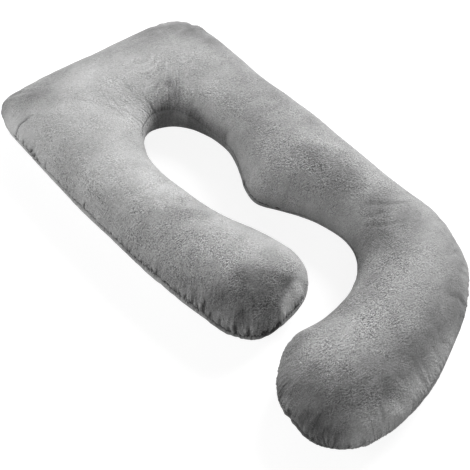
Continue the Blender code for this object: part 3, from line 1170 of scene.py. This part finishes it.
def stitch_tree():
    """Geometry nodes that lay a stitch at every pitch along a line of edges."""
    tree = bpy.data.node_groups.new("seam_stitches", "GeometryNodeTree")
    face = tree.interface
    face.new_socket("Line", in_out="INPUT", socket_type="NodeSocketGeometry")
    for name in ("Pitch", "Stitch length", "Thickness"):
        face.new_socket(name, in_out="INPUT", socket_type="NodeSocketFloat").subtype = "DISTANCE"
    face.new_socket("Material", in_out="INPUT", socket_type="NodeSocketMaterial")
    face.new_socket("Stitches", in_out="OUTPUT", socket_type="NodeSocketGeometry")
    given = node(tree, "NodeGroupInput").outputs
    line = node(tree, "GeometryNodeMeshToCurve", {"Mesh": given["Line"]}).outputs["Curve"]
    points = node(tree, "GeometryNodeCurveToPoints", {
        "Curve": line, "Length": given["Pitch"],
    }, mode="LENGTH").outputs
    wobble = node(tree, "FunctionNodeRandomValue", {
        "Min": (0.0, -STITCH_WOBBLE, -STITCH_WOBBLE), "Max": (0.0, STITCH_WOBBLE, STITCH_WOBBLE),
        "Seed": 3,
    }, data_type="FLOAT_VECTOR").outputs["Value"]
    along = node(tree, "FunctionNodeAlignRotationToVector", {
        "Vector": points["Tangent"],
    }, axis="X").outputs["Rotation"]
    turned = node(tree, "FunctionNodeRotateRotation", {
        "Rotation": along, "Rotate By": wobble,
    }).outputs["Rotation"]
    ball = node(tree, "GeometryNodeMeshUVSphere", {
        "Segments": 6, "Rings": 4, "Radius": 0.5,
    }).outputs["Mesh"]
    size = node(tree, "ShaderNodeCombineXYZ", {
        "X": given["Stitch length"], "Y": given["Thickness"], "Z": given["Thickness"],
    }).outputs["Vector"]
    laid = node(tree, "GeometryNodeInstanceOnPoints", {
        "Points": points["Points"], "Instance": ball, "Rotation": turned, "Scale": size,
    }).outputs["Instances"]
    real = node(tree, "GeometryNodeRealizeInstances", {"Geometry": laid}).outputs["Geometry"]
    done = node(tree, "GeometryNodeSetMaterial", {
        "Geometry": real, "Material": given["Material"],
    }).outputs["Geometry"]
    node(tree, "NodeGroupOutput", {"Stitches": done})
    return tree


def stitches(name, line, thread):
    """The stitches along a closed line of points, as a plain mesh."""
    count = len(line)
    mesh = bpy.data.meshes.new(name)
    mesh.from_pydata(line.tolist(), [(k, (k + 1) % count) for k in range(count)], [])
    piece = add_object(name, mesh)
    modifier = piece.modifiers.new("stitches", "NODES")
    modifier.node_group = stitch_tree()
    values = {
        "Pitch": thread.pitch,
        "Stitch length": STITCH_SHARE * thread.pitch,
        "Thickness": thread.thickness,
        "Material": polyester_thread(),
    }
    for item in modifier.node_group.interface.items_tree:
        if item.name in values:
            modifier[item.identifier] = values[item.name]
    piece.data = evaluated_mesh(piece)
    piece.modifiers.clear()
    return piece


# ---------------------------------------------------------------- studio


def lay_floor(studio):
    """Lay the plain floor, which glows so that it stays pale and even."""
    bpy.ops.mesh.primitive_plane_add(size=FLOOR_SIZE)
    floor = bpy.context.object
    floor.name = "floor"
    material, _, shader = new_material("matt_white_floor")
    shader.inputs["Base Color"].default_value = (*studio.floor, 1.0)
    shader.inputs["Roughness"].default_value = 1.0
    shader.inputs["Specular IOR Level"].default_value = 0.0
    shader.inputs["Emission Color"].default_value = (1.0, 1.0, 1.0, 1.0)
    shader.inputs["Emission Strength"].default_value = FLOOR_GLOW
    floor.data.materials.append(material)
    floor.visible_diffuse = False


def direction(heading, height):
    """The direction at a heading clockwise from +Y and a height above level."""
    flat = math.cos(height)
    return Vector((math.sin(heading) * flat, math.cos(heading) * flat, math.sin(height)))


def face(obj, target, back, distance):
    """Put a camera or a lamp at a distance back from its target, and turn it to face that."""
    obj.location = Vector(target) + back * distance
    obj.rotation_euler = back.to_track_quat("Z", "Y").to_euler()


def set_camera(studio):
    """Set the camera at the studio's angle and distance."""
    data = bpy.data.cameras.new("camera")
    data.lens = studio.lens
    data.sensor_width = SENSOR
    camera = add_object("camera", data)
    face(camera, studio.aim, -direction(studio.heading, -studio.elevation), studio.distance)
    bpy.context.scene.camera = camera


def set_lights():
    """Set the soft boxes and a little light from all round."""
    for light in LIGHTS:
        data = bpy.data.lights.new(light.name, "AREA")
        data.size = light.size
        data.energy = light.power
        toward = direction(math.radians(light.heading), math.radians(light.height))
        face(add_object(light.name, data), (0.0, 0.0, 0.0), toward, light.distance)
    world = bpy.data.worlds.new("studio")
    world.use_nodes = True
    background = world.node_tree.nodes["Background"]
    background.inputs["Color"].default_value = (1.0, 1.0, 1.0, 1.0)
    background.inputs["Strength"].default_value = FILL
    bpy.context.scene.world = world
    bpy.context.scene.view_settings.view_transform = "Standard"


# ------------------------------------------------------------- operators


def dress(piece):
    """Fasten a piece to the pillow's one body."""
    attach(piece, "root")


class BODYPILLOW_OT_cover(bpy.types.Operator):
    """Puff the velour cover from the solid, and sew in its seam and gathers"""

    bl_idname = "body_pillow.cover"
    bl_label = "Stuffed cover"

    def execute(self, context):
        solid = merged_solid()
        inner, outer, height = seam_runs(solid)
        spokes = spokes_of(inner, outer)
        shape = bpy.data.meshes.new("cloth")
        solid.to_mesh(shape)
        shape = puffed_cloth(solid, cast_seam(spokes, surface_of(shape), height))
        solid.free()
        grid = cast_cover(spokes, surface_of(shape), height)
        reach = along_spokes(grid)
        outward = outward_of(grid, spokes, height)
        gathered, painted_shade = gathers(grid, spokes, reach)
        creased, crease_painted_shade = creases(grid, height)
        push = lumps(grid) + swelling(grid, outward, reach) + gathered + creased
        push = push + groove(spokes, reach)
        grid = grid + outward * push[..., None]
        grid[..., 2] = np.maximum(grid[..., 2], 0.0)
        mesh = cover_mesh(grid, spokes, reach, np.clip(np.maximum(painted_shade, crease_painted_shade), 0, 1))
        mesh.materials.append(velour())
        piece = add_object("pillow_cover", mesh)
        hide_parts(NODE)
        dress(piece)
        return {"FINISHED"}


class BODYPILLOW_OT_thread(bpy.types.Operator):
    """Lay the stitches that close the cover at the bottom of the seam"""

    bl_idname = "body_pillow.thread"
    bl_label = "Seam thread"

    def execute(self, context):
        cover = bpy.data.objects.get("pillow_cover")
        if cover is None:
            raise RuntimeError("Make the cover first: the thread lies in its seam.")
        dress(stitches("seam_thread", seam_bottom(cover.data), settings().thread))
        return {"FINISHED"}


class BODYPILLOW_OT_studio(bpy.types.Operator):
    """Lay a plain pale floor, and set soft lights and the camera"""

    bl_idname = "body_pillow.studio"
    bl_label = "Studio"

    def execute(self, context):
        studio = settings().studio
        lay_floor(studio)
        set_camera(studio)
        set_lights()
        return {"FINISHED"}


# --------------------------------------------------- settings and the panel


class BodyPillowSettings(bpy.types.PropertyGroup):
    """Everything that a user would change."""

    cover: bpy.props.PointerProperty(type=CoverSettings)
    velour: bpy.props.PointerProperty(type=VelourSettings)
    thread: bpy.props.PointerProperty(type=ThreadSettings)
    studio: bpy.props.PointerProperty(type=StudioSettings)


class BODYPILLOW_PT_panel(bpy.types.Panel):
    """Lists the pillow's operators"""

    bl_idname = "BODYPILLOW_PT_panel"
    bl_label = "Body pillow"
    bl_space_type = "VIEW_3D"
    bl_region_type = "UI"
    bl_category = "Body pillow"

    def draw(self, context):
        for operator in OPERATORS:
            self.layout.operator(operator.bl_idname)


OPERATORS = (BODYPILLOW_OT_cover, BODYPILLOW_OT_thread, BODYPILLOW_OT_studio)
CLASSES = (
    CoverSettings, VelourSettings, ThreadSettings, StudioSettings, BodyPillowSettings,
    *OPERATORS, BODYPILLOW_PT_panel,
)


def register():
    """Add the classes and the scene's settings to Blender."""
    for cls in CLASSES:
        bpy.utils.register_class(cls)
    bpy.types.Scene.body_pillow_settings = bpy.props.PointerProperty(type=BodyPillowSettings)


def unregister():
    """Take the settings and the classes out again."""
    del bpy.types.Scene.body_pillow_settings
    for cls in reversed(CLASSES):
        bpy.utils.unregister_class(cls)


def main():
    """Register the add-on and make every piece."""
    register()
    bpy.ops.body_pillow.cover()
    bpy.ops.body_pillow.thread()
    bpy.ops.body_pillow.studio()


if __name__ == "__main__":
    main()
